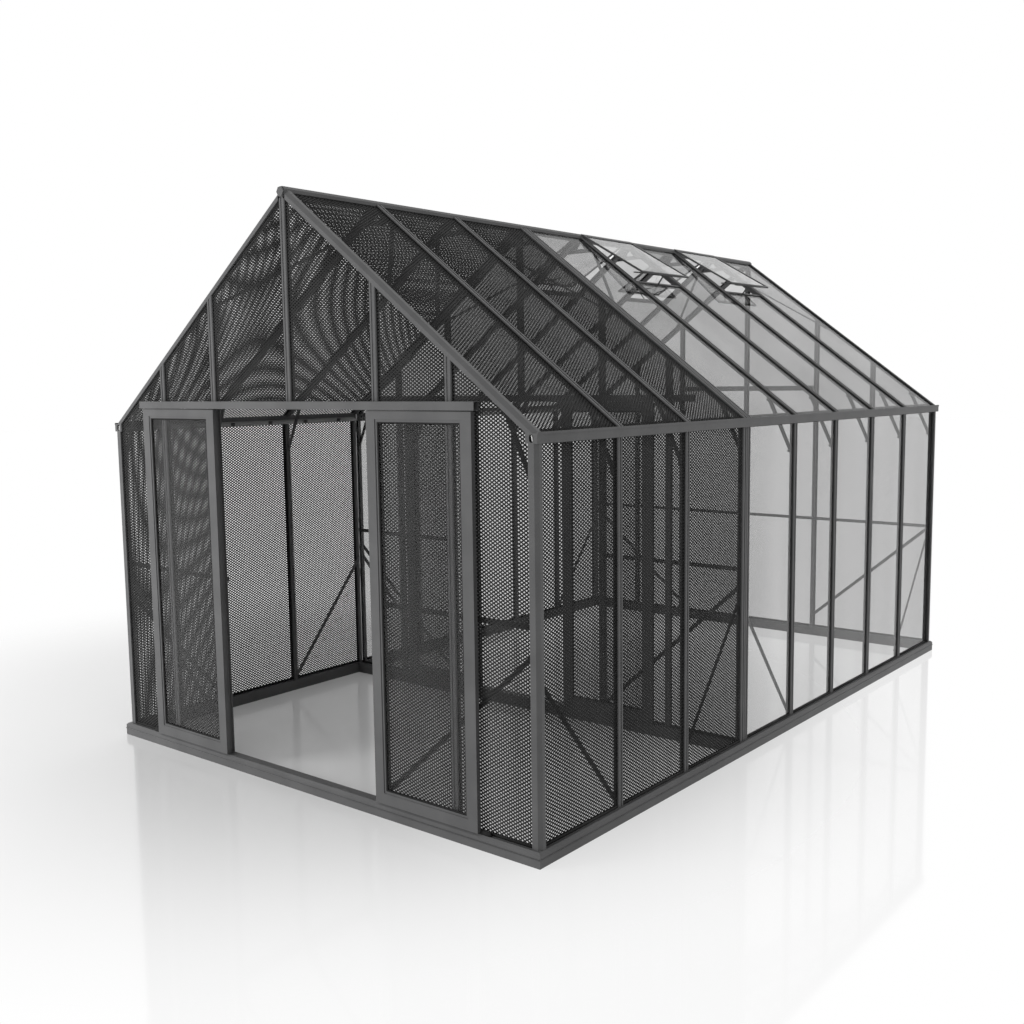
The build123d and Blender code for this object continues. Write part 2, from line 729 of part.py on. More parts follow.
def hanger_face(face, middle):
    """Outline of a hanger plate standing on a leaf's top edge, on its back face."""
    plate_back = track_depth / 2 - hanger_thickness / 2 - face
    with BuildSketch(Plane.XZ.offset(plate_back)) as outline:
        with Locations((middle, leaf_foot + leaf_height)):
            Rectangle(
                hanger_length, wheel_axis - leaf_foot - leaf_height, align=(Align.CENTER, Align.MIN)
            )
    return outline.sketch


def wheel_face(face, middle):
    """Outline of a hanger's wheel pair, on the back of the rear wheel."""
    with BuildSketch(Plane.XZ.offset(track_depth / 2 - wheel_span / 2 - face)) as outline:
        with Locations((middle, wheel_axis)):
            Circle(wheel_radius)
    return outline.sketch


# Front sliding doors, pushed open
with BuildPart() as front_door_track:
    extrude(track_section(-gable_face), track_length)
with BuildPart() as front_right_door:
    extrude(leaf_frame_face(-gable_face, front_leaf_open), leaf_thickness)
    extrude(leaf_step_face(-gable_face, front_leaf_open), leaf_step, mode=Mode.SUBTRACT)
with BuildPart() as front_right_door_glass:
    extrude(leaf_sheet_face(-gable_face, front_leaf_open), sheet_thickness)
with BuildPart() as front_right_door_hangers:
    for middle in hanger_places(front_leaf_open):
        extrude(hanger_face(-gable_face, middle), hanger_thickness)
        extrude(wheel_face(-gable_face, middle), wheel_span)
with BuildPart() as front_left_door:
    mirror(front_right_door.part, about=Plane.YZ)
with BuildPart() as front_left_door_glass:
    mirror(front_right_door_glass.part, about=Plane.YZ)
with BuildPart() as front_left_door_hangers:
    mirror(front_right_door_hangers.part, about=Plane.YZ)

# Partition sliding doors, half open
with BuildPart() as partition_door_track:
    extrude(track_section(partition_face), track_length)
with BuildPart() as partition_right_door:
    extrude(leaf_frame_face(partition_face, partition_leaf_open), leaf_thickness)
    extrude(leaf_step_face(partition_face, partition_leaf_open), leaf_step, mode=Mode.SUBTRACT)
with BuildPart() as partition_right_door_glass:
    extrude(leaf_sheet_face(partition_face, partition_leaf_open), sheet_thickness)
with BuildPart() as partition_right_door_hangers:
    for middle in hanger_places(partition_leaf_open):
        extrude(hanger_face(partition_face, middle), hanger_thickness)
        extrude(wheel_face(partition_face, middle), wheel_span)
with BuildPart() as partition_left_door:
    mirror(partition_right_door.part, about=Plane.YZ)
with BuildPart() as partition_left_door_glass:
    mirror(partition_right_door_glass.part, about=Plane.YZ)
with BuildPart() as partition_left_door_hangers:
    mirror(partition_right_door_hangers.part, about=Plane.YZ)

pieces = {
    "base_front": base_front,
    "base_back": base_back,
    "base_left": base_left,
    "base_right": base_right,
    "partition_sill": partition_sill,
    "corner_posts": corner_posts,
    "right_wall_posts": right_wall_posts,
    "left_wall_posts": left_wall_posts,
    "right_gutter": right_gutter,
    "left_gutter": left_gutter,
    "ridge_beam": ridge_beam,
    "ridge_end_caps": ridge_end_caps,
    "right_rafters": right_rafters,
    "left_rafters": left_rafters,
    "gable_rafters": gable_rafters,
    "front_gable_bars": front_gable_bars,
    "back_gable_bars": back_gable_bars,
    "partition_bars": partition_bars,
    "gable_headers": gable_headers,
    "mid_rails": mid_rails,
    "wind_braces": wind_braces,
    "eave_braces": eave_braces,
    "ridge_gussets": ridge_gussets,
    "right_wall_mesh": right_wall_mesh,
    "left_wall_mesh": left_wall_mesh,
    "right_roof_mesh": right_roof_mesh,
    "left_roof_mesh": left_roof_mesh,
    "front_gable_mesh": front_gable_mesh,
    "right_wall_glass": right_wall_glass,
    "left_wall_glass": left_wall_glass,
    "right_roof_glass": right_roof_glass,
    "left_roof_glass": left_roof_glass,
    "back_gable_glass": back_gable_glass,
    "partition_glass": partition_glass,
    "vent_sills": vent_sills,
    "vent_sashes": vent_sashes,
    "vent_panes": vent_panes,
    "vent_stays": vent_stays,
    "front_door_track": front_door_track,
    "partition_door_track": partition_door_track,
    "front_right_door": front_right_door,
    "front_right_door_glass": front_right_door_glass,
    "front_right_door_hangers": front_right_door_hangers,
    "front_left_door": front_left_door,
    "front_left_door_glass": front_left_door_glass,
    "front_left_door_hangers": front_left_door_hangers,
    "partition_right_door": partition_right_door,
    "partition_right_door_glass": partition_right_door_glass,
    "partition_right_door_hangers": partition_right_door_hangers,
    "partition_left_door": partition_left_door,
    "partition_left_door_glass": partition_left_door_glass,
    "partition_left_door_hangers": partition_left_door_hangers,
}
os.makedirs("parts", exist_ok=True)
for name, piece in pieces.items():
    piece.part.label = name
    export_step(piece.part, f"parts/{name}.step")
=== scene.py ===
"""Looks of the greenhouse: screens, glass, coated frame, fittings, studio floor, light and camera."""
import json
import math

import bpy
import numpy as np
from mathutils import Matrix, Vector


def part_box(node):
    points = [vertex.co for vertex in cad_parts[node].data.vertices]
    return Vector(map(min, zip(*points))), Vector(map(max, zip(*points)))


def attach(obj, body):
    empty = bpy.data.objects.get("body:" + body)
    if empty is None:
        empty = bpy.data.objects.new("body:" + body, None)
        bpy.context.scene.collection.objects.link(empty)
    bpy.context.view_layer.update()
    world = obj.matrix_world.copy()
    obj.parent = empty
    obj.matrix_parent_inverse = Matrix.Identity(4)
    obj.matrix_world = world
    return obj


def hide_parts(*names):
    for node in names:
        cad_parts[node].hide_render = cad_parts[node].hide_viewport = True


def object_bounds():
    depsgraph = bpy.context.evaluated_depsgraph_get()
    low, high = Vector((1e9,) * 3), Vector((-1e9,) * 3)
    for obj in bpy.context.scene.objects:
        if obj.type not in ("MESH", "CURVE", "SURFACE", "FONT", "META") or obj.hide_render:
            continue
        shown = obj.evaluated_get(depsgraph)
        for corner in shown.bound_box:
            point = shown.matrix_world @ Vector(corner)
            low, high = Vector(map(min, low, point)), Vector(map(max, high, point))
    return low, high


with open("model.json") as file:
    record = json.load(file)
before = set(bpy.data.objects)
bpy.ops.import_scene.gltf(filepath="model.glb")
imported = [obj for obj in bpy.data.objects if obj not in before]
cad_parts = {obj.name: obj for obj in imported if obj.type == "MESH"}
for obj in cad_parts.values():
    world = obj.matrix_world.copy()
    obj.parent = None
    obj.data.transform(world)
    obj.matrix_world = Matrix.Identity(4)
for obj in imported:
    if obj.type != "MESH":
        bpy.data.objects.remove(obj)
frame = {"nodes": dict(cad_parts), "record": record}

cad_low, cad_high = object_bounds()

# Screens: two families of flat strands that cross in low diamonds, in metres; the phase is a share of
# the pitch
DIAMOND_WIDTH = 0.027
DIAMOND_HEIGHT = 0.017
STRAND_WIDTH = 0.0074
STRAND_THICKNESS = 0.0016
STRAND_BEVEL = 0.0006
STRAND_LAYER = 0.0006
STRAND_PHASE = 0.37

# Seals and strips, in metres; the shares are of a height, a width or a gap
SEAL_WIDTH = 0.004
SEAL_RISE = 0.003
SEAL_INSET = 0.0132
CORNER_SEAL_INSET = 0.0082
SILL_SEAL_HEIGHT = 0.014
SILL_SEAL_DEPTH = 0.006
EAVE_STRIP_HEIGHT = 0.030
EAVE_STRIP_DEPTH = 0.004
EAVE_CLIP_PITCH = 0.31
EAVE_CLIP_SHARES = (0.1, 0.8)
GASKET_WIDTH = 0.009
GASKET_DEPTH = 0.005
GASKET_LIP_SHARE = 0.6
BRUSH_INSET = 0.001
BRUSH_WIDTH = 0.005
BRUSH_SHARE = 0.85
PLINTH_BEAD_HEIGHT = 0.006
PLINTH_BEAD_DEPTH = 0.003
PLINTH_BEAD_PLACE = 0.038
PLINTH_BEAD_SHARES = (0.2, 0.8)

# Fittings, in metres; a ring of a bolt is a radius and a height
BOLT_RINGS = [(0.0085, 0.0), (0.0085, 0.0012), (0.0058, 0.0012), (0.0058, 0.0044), (0.0042, 0.0052)]
BOLT_SIDES = 8
BOLT_INSET = 0.026
GUSSET_BOLT_SHARES = (-0.74, -0.48, 0.48, 0.74)
STOP_LENGTH = 0.055
STOP_WIDTH = 0.018
STOP_HEIGHT = 0.024
STOP_GAP = 0.006
STOP_SLOPE = 0.35
ARM_WIDTH = 0.009
ARM_THICKNESS = 0.004
ARM_INSET = 0.012
ARM_LIFT = 0.004
ARM_SPREAD = 0.2
ARM_TAPER = 0.55
ARM_REACH = 0.12
SASH_LIP = 0.02
HINGE_THICKNESS = 0.0035
# Pale tongue in each gutter's end slot, painted light for the bright gap seen through it: place, height,
# length, lean, depth and radius
SLOT_LIGHT_PLACE = 1.582
SLOT_LIGHT_HEIGHT = 1.9055
SLOT_LIGHT_LENGTH = 0.027
SLOT_LIGHT_LEAN = 0.003
SLOT_LIGHT_DEPTH = 0.008
SLOT_LIGHT_RADIUS = 0.003

# Measures on the solids: steps for each metre that points are rounded to, how near counts as the same
# place in metres, and the least cosine for a face that looks along a direction and for an upright axis
EDGE_STEPS = 1e4
POINT_STEPS = 1e5
NEAR = 0.004
FACING = 0.95
UPRIGHT = 0.9
TINY = 1e-12

# Directions of the frame
RIGHT = np.array([1.0, 0.0, 0.0])
BACK = np.array([0.0, 1.0, 0.0])
UP = np.array([0.0, 0.0, 1.0])

# Materials: noise cells for each metre, the middle of the noise that is used, and depths in metres
NOISE_LOW = 0.3
NOISE_HIGH = 0.7
DRIFT_CELLS = 6.0
GRAIN_CELLS = 160.0
PEEL_CELLS = 900.0
PEEL_DEPTH = 0.0004
# Upright bands of painted reflection in the glass colour
PAINTED_REFLECTION_CELLS = 2.2
PAINTED_REFLECTION_STRETCH = (1.0, 1.0, 0.12)
WIPE_CELLS = 14.0
PANE_IOR = 1.25
ROOF_IOR = 1.12

# Camera, as it stood for the photograph
CAMERA_PLACE = (4.5398, -6.3055, 2.1402)
CAMERA_YAW = math.radians(39.0653)
CAMERA_PITCH = math.radians(-6.531)
CAMERA_ROLL = math.radians(-0.745)
CAMERA_LENS = 39.436
CAMERA_SENSOR = 36.0

# Studio: the floor, the distances over which painted white light takes it over, the even light and the
# lamp
FLOOR_RADIUS = 60.0
FLOOR_SIDES = 96
FLOOR_TONE = (0.74, 0.74, 0.74, 1)
FLOOR_ROUGHNESS = 0.12
FLOOR_SHEEN = 1.3
MIRROR_ROUGHNESS = 0.06
WHITE = (1, 1, 1, 1)
# Painted light on the floor: least white within FADE_START of this point left of the house's front, so the
# floor's own shading shows most there; FADE_LEAST of painted white lies everywhere, also on the shaded
# floor under the house
FADE_CENTRE = (-1.4, -1.3, 0.0)
FADE_START = 1.7
FADE_END = 4.2
FADE_LEAST = 0.10
WORLD_LIGHT = 0.76
KEY_POWER = 580.0
KEY_SIZE = 3.6
KEY_PLACE = (-4.5, -8.5, 2.2)
KEY_AIM = (0.0, -1.0, 1.2)


def new_material(name):
    """A material with an empty node tree and its output node."""
    material = bpy.data.materials.new(name)
    material.use_nodes = True
    tree = material.node_tree
    tree.nodes.clear()
    output = tree.nodes.new("ShaderNodeOutputMaterial")
    return material, tree, output


def add_noise(tree, scale, detail, stretch=(1.0, 1.0, 1.0)):
    """Noise on object coordinates; scale is in cells for each metre, times stretch along each axis."""
    place = tree.nodes.new("ShaderNodeTexCoord")
    mapping = tree.nodes.new("ShaderNodeMapping")
    mapping.inputs["Scale"].default_value = stretch
    noise = tree.nodes.new("ShaderNodeTexNoise")
    noise.inputs["Scale"].default_value = scale
    noise.inputs["Detail"].default_value = detail
    tree.links.new(place.outputs["Object"], mapping.inputs["Vector"])
    tree.links.new(mapping.outputs["Vector"], noise.inputs["Vector"])
    return noise


def add_range(tree, source, low, high):
    """Maps the middle of a noise to the span from low to high."""
    mapped = tree.nodes.new("ShaderNodeMapRange")
    mapped.inputs["From Min"].default_value = NOISE_LOW
    mapped.inputs["From Max"].default_value = NOISE_HIGH
    mapped.inputs["To Min"].default_value = low
    mapped.inputs["To Max"].default_value = high
    tree.links.new(source, mapped.inputs["Value"])
    return mapped.outputs["Result"]


def add_mixed_colour(tree, source, dark, light):
    """Colour that drifts between two close tones over the middle of a noise."""
    ramp = tree.nodes.new("ShaderNodeValToRGB")
    first, last = ramp.color_ramp.elements
    first.position = NOISE_LOW
    first.color = (*dark, 1)
    last.position = NOISE_HIGH
    last.color = (*light, 1)
    tree.links.new(source, ramp.inputs["Fac"])
    return ramp.outputs["Color"]


def coated_metal(name, dark, light, rough_low, rough_high, gloss, peel):
    """Powder coat: a slow drift of tone, a finer drift of roughness and a fine orange peel as bump."""
    material, tree, output = new_material(name)
    shader = tree.nodes.new("ShaderNodeBsdfPrincipled")
    drift = add_noise(tree, DRIFT_CELLS, 3.0)
    grain = add_noise(tree, GRAIN_CELLS, 2.0)
    skin = add_noise(tree, PEEL_CELLS, 2.0)
    bump = tree.nodes.new("ShaderNodeBump")
    bump.inputs["Strength"].default_value = peel
    bump.inputs["Distance"].default_value = PEEL_DEPTH
    tree.links.new(skin.outputs["Fac"], bump.inputs["Height"])
    tone = add_mixed_colour(tree, drift.outputs["Fac"], dark, light)
    roughness = add_range(tree, grain.outputs["Fac"], rough_low, rough_high)
    tree.links.new(tone, shader.inputs["Base Color"])
    tree.links.new(roughness, shader.inputs["Roughness"])
    tree.links.new(bump.outputs["Normal"], shader.inputs["Normal"])
    shader.inputs["Specular IOR Level"].default_value = gloss
    tree.links.new(shader.outputs["BSDF"], output.inputs["Surface"])
    return material


def clear_glass(name, dark, light, passed, ior, rough_low, rough_high):
    """Tinted sheet glass with faint upright bands of painted reflection in its colour, and wiped patches.

    Light that falls through it onto other things goes straight on, less what passed takes away.
    """
    material, tree, output = new_material(name)
    shader = tree.nodes.new("ShaderNodeBsdfPrincipled")
    shader.inputs["Transmission Weight"].default_value = 1.0
    shader.inputs["IOR"].default_value = ior
    bands = add_noise(tree, PAINTED_REFLECTION_CELLS, 1.0, stretch=PAINTED_REFLECTION_STRETCH)
    wipe = add_noise(tree, WIPE_CELLS, 4.0)
    # The colour drifts from dark to light along the upright bands: painted reflection over the glass's own
    # tone
    tint_and_painted_reflection = add_mixed_colour(tree, bands.outputs["Fac"], dark, light)
    roughness = add_range(tree, wipe.outputs["Fac"], rough_low, rough_high)
    tree.links.new(tint_and_painted_reflection, shader.inputs["Base Color"])
    tree.links.new(roughness, shader.inputs["Roughness"])
    through = tree.nodes.new("ShaderNodeBsdfTransparent")
    through.inputs["Color"].default_value = (*passed, 1)
    path = tree.nodes.new("ShaderNodeLightPath")
    soft = tree.nodes.new("ShaderNodeMath")
    soft.operation = "MAXIMUM"
    tree.links.new(path.outputs["Is Shadow Ray"], soft.inputs[0])
    tree.links.new(path.outputs["Is Diffuse Ray"], soft.inputs[1])
    mix = tree.nodes.new("ShaderNodeMixShader")
    tree.links.new(soft.outputs["Value"], mix.inputs["Fac"])
    tree.links.new(shader.outputs["BSDF"], mix.inputs[1])
    tree.links.new(through.outputs["BSDF"], mix.inputs[2])
    tree.links.new(mix.outputs["Shader"], output.inputs["Surface"])
    return material


frame_coat = coated_metal(
    "anthracite_coat", (0.072, 0.072, 0.073), (0.090, 0.090, 0.091), 0.40, 0.54, gloss=0.4, peel=0.12)
# The braces are the same painted metal as the frame; their darker tone is painted shade
brace_coat = coated_metal(
    "brace_coat", (0.060, 0.060, 0.061), (0.075, 0.075, 0.076), 0.42, 0.56, gloss=0.35, peel=0.12)
hanger_coat = coated_metal(
    "hanger_coat", (0.050, 0.050, 0.050), (0.065, 0.065, 0.065), 0.34, 0.48, gloss=0.4, peel=0.10)
screen_coat = coated_metal(
    "screen_coat", (0.028, 0.028, 0.028), (0.036, 0.036, 0.036), 0.60, 0.75, gloss=0.06, peel=0.08)
rubber = coated_metal(
    "black_rubber", (0.010, 0.010, 0.010), (0.018, 0.018, 0.018), 0.62, 0.80, gloss=0.25, peel=0.25)
bolt_coat = coated_metal(
    "bolt_coat", (0.085, 0.085, 0.086), (0.12, 0.12, 0.121), 0.30, 0.45, gloss=0.5, peel=0.05)
hinge_alloy = coated_metal(
    "hinge_alloy", (0.27, 0.27, 0.27), (0.34, 0.34, 0.34), 0.32, 0.45, gloss=0.5, peel=0.05)
# Pale colour of the tongue in the gutter slots: painted light
slot_light_paint = coated_metal(
    "slot_light_paint", (0.78, 0.78, 0.77), (0.88, 0.88, 0.87), 0.40, 0.55, gloss=0.4, peel=0.05)
# The spread of each glass colour from dark to light is painted reflection in upright bands
pane_glass = clear_glass(
    "pane_glass", (0.60, 0.60, 0.60), (0.68, 0.68, 0.68), (0.95, 0.95, 0.95), PANE_IOR, 0.0, 0.012)
# The roof glass is the same glass as the panes, made darker as painted shade, with a lower IOR for weaker
# reflection
roof_glass = clear_glass(
    "roof_glass", (0.46, 0.46, 0.46), (0.54, 0.54, 0.54), (0.95, 0.95, 0.95), ROOF_IOR, 0.0, 0.012)

slot_materials = {
    "frame": frame_coat,
    "brace": brace_coat,
    "hanger": hanger_coat,
    "mesh": screen_coat,
    "glass": pane_glass,
}
node_slots = {row["node"]: row["material_slot"] for row in frame["record"]["subparts"]}
for node, piece in frame["nodes"].items():
    piece.data.materials.clear()
    piece.data.materials.append(slot_materials[node_slots[node]])
# The roof sheets take the darker roof glass: painted shade
for side in ("right", "left"):
    frame["nodes"][f"{side}_roof_glass"].data.materials[0] = roof_glass


def add_mesh_piece(name, points, quads, material, body, slot):
    """A mesh object at the origin from an array of points and an array of quads, riding on a body."""
    mesh = bpy.data.meshes.new(name)
    mesh.vertices.add(len(points))
    mesh.vertices.foreach_set("co", np.ascontiguousarray(points, np.float32).ravel())
    mesh.loops.add(quads.size)
    mesh.loops.foreach_set("vertex_index", np.ascontiguousarray(quads, np.int32).ravel())
    mesh.polygons.add(len(quads))
    mesh.polygons.foreach_set("loop_start", np.arange(len(quads), dtype=np.int32) * 4)
    mesh.update(calc_edges=True)
    mesh.validate()
    mesh.materials.append(material)
    piece = bpy.data.objects.new(name, mesh)
    bpy.context.scene.collection.objects.link(piece)
    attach(piece, body)
    return piece


def node_triangles(node):
    """Corner points of a node's triangles, as an array of triangles by corners by coordinates."""
    mesh = frame["nodes"][node].data
    mesh.calc_loop_triangles()
    corners = np.zeros(len(mesh.loop_triangles) * 3, np.int32)
    mesh.loop_triangles.foreach_get("vertices", corners)
    points = np.zeros(len(mesh.vertices) * 3, np.float32)
    mesh.vertices.foreach_get("co", points)
    return points.reshape(-1, 3)[corners].reshape(-1, 3, 3).astype(float)


def face_outline(node, normal):
    """Edges round the faces of a node that look along normal: those that only one triangle there has."""
    triangles = node_triangles(node)
    turns = np.cross(triangles[:, 1] - triangles[:, 0], triangles[:, 2] - triangles[:, 0])
    turns /= np.maximum(np.linalg.norm(turns, axis=1, keepdims=True), TINY)
    faced = triangles[turns @ normal > FACING]
    edges = np.stack([faced, np.roll(faced, -1, axis=1)], axis=2).reshape(-1, 2, 3)
    keys = np.round(edges * EDGE_STEPS).astype(np.int64)
    first, second = keys[:, 0], keys[:, 1]
    swap = (first - second)[np.arange(len(keys)), np.argmax(first != second, axis=1)] > 0
    low = np.where(swap[:, None], second, first)
    high = np.where(swap[:, None], first, second)
    both = np.hstack([low, high])
    _, index, count = np.unique(both, axis=0, return_index=True, return_counts=True)
    return edges[index[count == 1]]


def linked_labels(groups, count):
    """A label for each of count points, the same for all that chains of groups of points link."""
    label = np.arange(count)
    while True:
        merged = label.copy()
        np.minimum.at(merged, groups, label[groups].min(axis=1)[:, None])
        if (merged == label).all():
            return label
        label = merged


def outer_edges(flat):
    """The flat edges of the loops that run anticlockwise: outlines of sheets, without openings.

    The area of a loop is half the sum of the cross products of its edges' ends.
    """
    keys = np.round(flat.reshape(-1, 2) * EDGE_STEPS).astype(int)
    places, corner = np.unique(keys, axis=0, return_inverse=True)
    corner = corner.reshape(-1, 2)
    loop = linked_labels(corner, len(places))[corner[:, 0]]
    start, end = flat[:, 0], flat[:, 1]
    doubled = np.bincount(loop, start[:, 0] * end[:, 1] - start[:, 1] * end[:, 0])
    return flat[doubled[loop] > 0]


def strand_runs(outline, turn, pitch):
    """Where parallel lines, a pitch apart and turned by an angle, run inside an outline of flat edges.

    Each line meets the edges whose two ends lie on its two sides. Sorted along the line, these
    meeting points pair up into runs, from the way in to the way out.
    """
    along = np.array([math.cos(turn), math.sin(turn)])
    across = np.array([-along[1], along[0]])
    side = outline @ across
    first = math.ceil(side.min() / pitch)
    places = (np.arange(first, math.floor(side.max() / pitch) + 1) + STRAND_PHASE) * pitch
    start = side[:, 0][None] - places[:, None]
    end = side[:, 1][None] - places[:, None]
    line, edge = np.nonzero((start < 0) != (end < 0))
    share = start[line, edge] / (start[line, edge] - end[line, edge])
    distance = (outline @ along)[edge, 0] * (1 - share) + (outline @ along)[edge, 1] * share
    order = np.lexsort((distance, line))
    pairs = distance[order].reshape(-1, 2)
    offset = places[line[order].reshape(-1, 2)[:, 0]]
    return pairs[..., None] * along + (offset[:, None] * across)[:, None, :], across


def cap_quads(corners):
    """Quads that close a ring with an even number of corners, fanned out from its first corner."""
    fan = np.arange(1, corners - 2, 2)
    return np.stack([0 * fan, fan, fan + 1, fan + 2], axis=1)


def straight_bars(starts, ends, across, out, section):
    """Bars from each start to its end, as points and quads.

    Point = end of the run + section's first value times across + section's second value times out.
    Where across, out and the run are left-handed, the quads are turned round, to face outwards.
    """
    starts, ends = np.atleast_2d(starts), np.atleast_2d(ends)
    across = np.broadcast_to(across, starts.shape)
    out = np.broadcast_to(out, starts.shape)
    section = np.asarray(section, float)
    corners = len(section)
    spread = section[:, :1] * across[:, None] + section[:, 1:] * out[:, None]
    points = np.stack([starts, ends], axis=1)[:, :, None] + spread[:, None]
    side = np.arange(corners)
    after = (side + 1) % corners
    walls = np.stack([side, after, after + corners, side + corners], axis=1)
    cap = cap_quads(corners)
    one = np.vstack([walls, cap + corners, cap[:, ::-1]])
    quads = np.arange(len(starts))[:, None, None] * (2 * corners) + one
    left_handed = (np.cross(across, out) * (ends - starts)).sum(axis=1) < 0
    quads[left_handed] = quads[left_handed][:, :, ::-1]
    return points.reshape(-1, 3), quads.reshape(-1, 4)


def box_section(low_across, high_across, low_out, high_out):
    """Corners of a plain rectangular section, anticlockwise."""
    return [(low_across, low_out), (high_across, low_out),
            (high_across, high_out), (low_across, high_out)]


def joined(parts):
    """One array of points and one of quads from several pairs of them."""
    counts = np.cumsum([0] + [len(points) for points, _ in parts[:-1]])
    quads = [quads + count for (_, quads), count in zip(parts, counts)]
    return np.vstack([points for points, _ in parts]), np.vstack(quads)


def sheet_axes(normal):
    """Unit normal of a flat sheet, its level direction, and the direction up it."""
    normal = np.array(normal, float) / np.linalg.norm(normal)
    level = np.cross(UP, normal)
    level /= np.linalg.norm(level)
    return normal, level, np.cross(normal, level)


def screen(node, normal, name):
    """Mesh screen in place of a plain sheet: each strand is a six-sided flat bar along its run.

    One family of strands rises with the slope of the diamonds and one falls, each on its own side of
    the sheet's middle.
    """
    normal, level, rise = sheet_axes(normal)
    outline = face_outline(node, normal)
    faces = node_triangles(node) @ normal
    depth = (faces.min() + faces.max()) / 2
    flat = outer_edges(np.stack([outline @ level, outline @ rise], axis=-1))
    turn = math.atan2(DIAMOND_HEIGHT, DIAMOND_WIDTH)
    half, thick = STRAND_WIDTH / 2, STRAND_THICKNESS / 2
    flank = half - STRAND_BEVEL
    section = [(-half, 0), (-flank, -thick), (flank, -thick),
               (half, 0), (flank, thick), (-flank, thick)]
    families = []
    for angle, layer in ((turn, STRAND_LAYER), (-turn, -STRAND_LAYER)):
        runs, across = strand_runs(flat, angle, DIAMOND_WIDTH * math.sin(turn))
        space = runs[..., :1] * level + runs[..., 1:] * rise + (depth + layer) * normal
        across = across[0] * level + across[1] * rise
        families.append(straight_bars(space[:, 0], space[:, 1], across, normal, section))
    piece = add_mesh_piece(name, *joined(families), screen_coat, "house", "mesh")
    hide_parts(node)


roof_low, roof_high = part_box("right_roof_mesh")
roof_rise = (roof_high.z - roof_low.z) / (roof_high.x - roof_low.x)
roof_normals = {"right": (roof_rise, 0, 1), "left": (-roof_rise, 0, 1)}
wall_normals = {"right": RIGHT, "left": -RIGHT}
for side in ("right", "left"):
    screen(f"{side}_wall_mesh", wall_normals[side], f"{side}_wall_screen")
    screen(f"{side}_roof_mesh", roof_normals[side], f"{side}_roof_screen")
screen("front_gable_mesh", -BACK, "front_gable_screen")


def node_solids(node):
    """Points of each separate solid of a node: those that its triangles link."""
    keys = np.round(node_triangles(node).reshape(-1, 3) * POINT_STEPS).astype(int)
    points, corner = np.unique(keys, axis=0, return_inverse=True)
    label = linked_labels(corner.reshape(-1, 3), len(points))
    return [points[label == one] / POINT_STEPS for one in np.unique(label)]


def loop_strip(corners, out, section):
    """Strip round a rectangle of four corners, mitred, as points and quads.

    Point = corner + section's first value times the corner's inward diagonal + its second value
    times out. The diagonal is the sum of the unit vectors to the next corner and the one before.
    """
    after, before = np.roll(corners, -1, axis=0) - corners, np.roll(corners, 1, axis=0) - corners
    inward = after / np.linalg.norm(after, axis=1)[:, None]
    inward = inward + before / np.linalg.norm(before, axis=1)[:, None]
    section = np.asarray(section, float)
    points = corners[:, None] + section[:, :1] * inward[:, None] + section[:, 1:] * out
    ring, step = np.meshgrid(np.arange(4), np.arange(len(section)), indexing="ij")
    next_step, count = (step + 1) % len(section), len(section)
    quads = np.stack([
        ring * count + step, ring * count + next_step,
        (ring + 1) % 4 * count + next_step, (ring + 1) % 4 * count + step,
    ], axis=-1)
    return points.reshape(-1, 3), quads.reshape(-1, 4)


def pane_seals(node, normal, name):
    """Black seal along the four edges of each sheet of a node, beside the caps that hold it."""
    normal, level, rise = sheet_axes(normal)
    solids = node_solids(node)
    reach = np.concatenate(solids) @ level
    strips = []
    for points in solids:
        left, right = (points @ level).min(), (points @ level).max()
        foot, head = (points @ rise).min(), (points @ rise).max()
        face = (points @ normal).max()
        left += CORNER_SEAL_INSET if left < reach.min() + NEAR else SEAL_INSET
        right -= CORNER_SEAL_INSET if right > reach.max() - NEAR else SEAL_INSET
        corners = [left * level + foot * rise, right * level + foot * rise,
                   right * level + head * rise, left * level + head * rise]
        section = box_section(0, SEAL_WIDTH, 0, SEAL_RISE)
        strips.append(loop_strip(np.array(corners) + face * normal, normal, section))
    add_mesh_piece(name, *joined(strips), rubber, "house", "mesh")


def sill_seals(node, normal):
    """Black strips outside the sheets of a node, along the edges that stand on the plinth."""
    normal, level, rise = sheet_axes(normal)
    footed = [points for points in node_solids(node) if points[:, 2].min() < plinth_top + NEAR]
    feet = [points[points[:, 2] < plinth_top + NEAR] for points in footed]
    face = max((points @ normal).max() for points in footed)
    starts = np.array([points[np.argmin(points @ level)] for points in feet])
    ends = np.array([points[np.argmax(points @ level)] for points in feet])
    starts = starts + (face - starts @ normal)[:, None] * normal
    ends = ends + (face - ends @ normal)[:, None] * normal
    section = box_section(0, SILL_SEAL_HEIGHT, 0, SILL_SEAL_DEPTH)
    return straight_bars(starts, ends, rise, normal, section)


def gutter_foot(normal):
    """Height of the lower edge of the gutter over a wall, and where its inner face is along normal."""
    points = np.concatenate(node_solids("right_gutter" if normal[0] > 0 else "left_gutter"))
    return points[:, 2].min(), (points @ normal).min()


def eave_strips(node, normal):
    """Flat strip over the wall sheets of a node, along the lower edge of the gutter's inner face."""
    normal, level, rise = sheet_axes(normal)
    points = np.concatenate(node_solids(node))
    height, inner = gutter_foot(normal)
    foot = height * rise + inner * normal
    start = foot + (points @ level).min() * level
    end = foot + (points @ level).max() * level
    section = box_section(0, EAVE_STRIP_HEIGHT, 0, EAVE_STRIP_DEPTH)
    return straight_bars(start, end, rise, -normal, section)


def eave_clips(node, normal):
    """Small clips a pitch apart along an eave strip, each a short bar that stands off it."""
    normal, level, rise = sheet_axes(normal)
    reach = np.concatenate(node_solids(node)) @ level
    along = np.arange(reach.min() + EAVE_CLIP_PITCH / 2, reach.max(), EAVE_CLIP_PITCH)
    height, inner = gutter_foot(normal)
    starts = height * rise + (inner - EAVE_STRIP_DEPTH) * normal + along[:, None] * level
    foot, head = (share * EAVE_STRIP_HEIGHT for share in EAVE_CLIP_SHARES)
    section = box_section(foot, head, 0, EAVE_STRIP_DEPTH)
    return straight_bars(starts, starts + EAVE_STRIP_HEIGHT * level, rise, -normal, section)


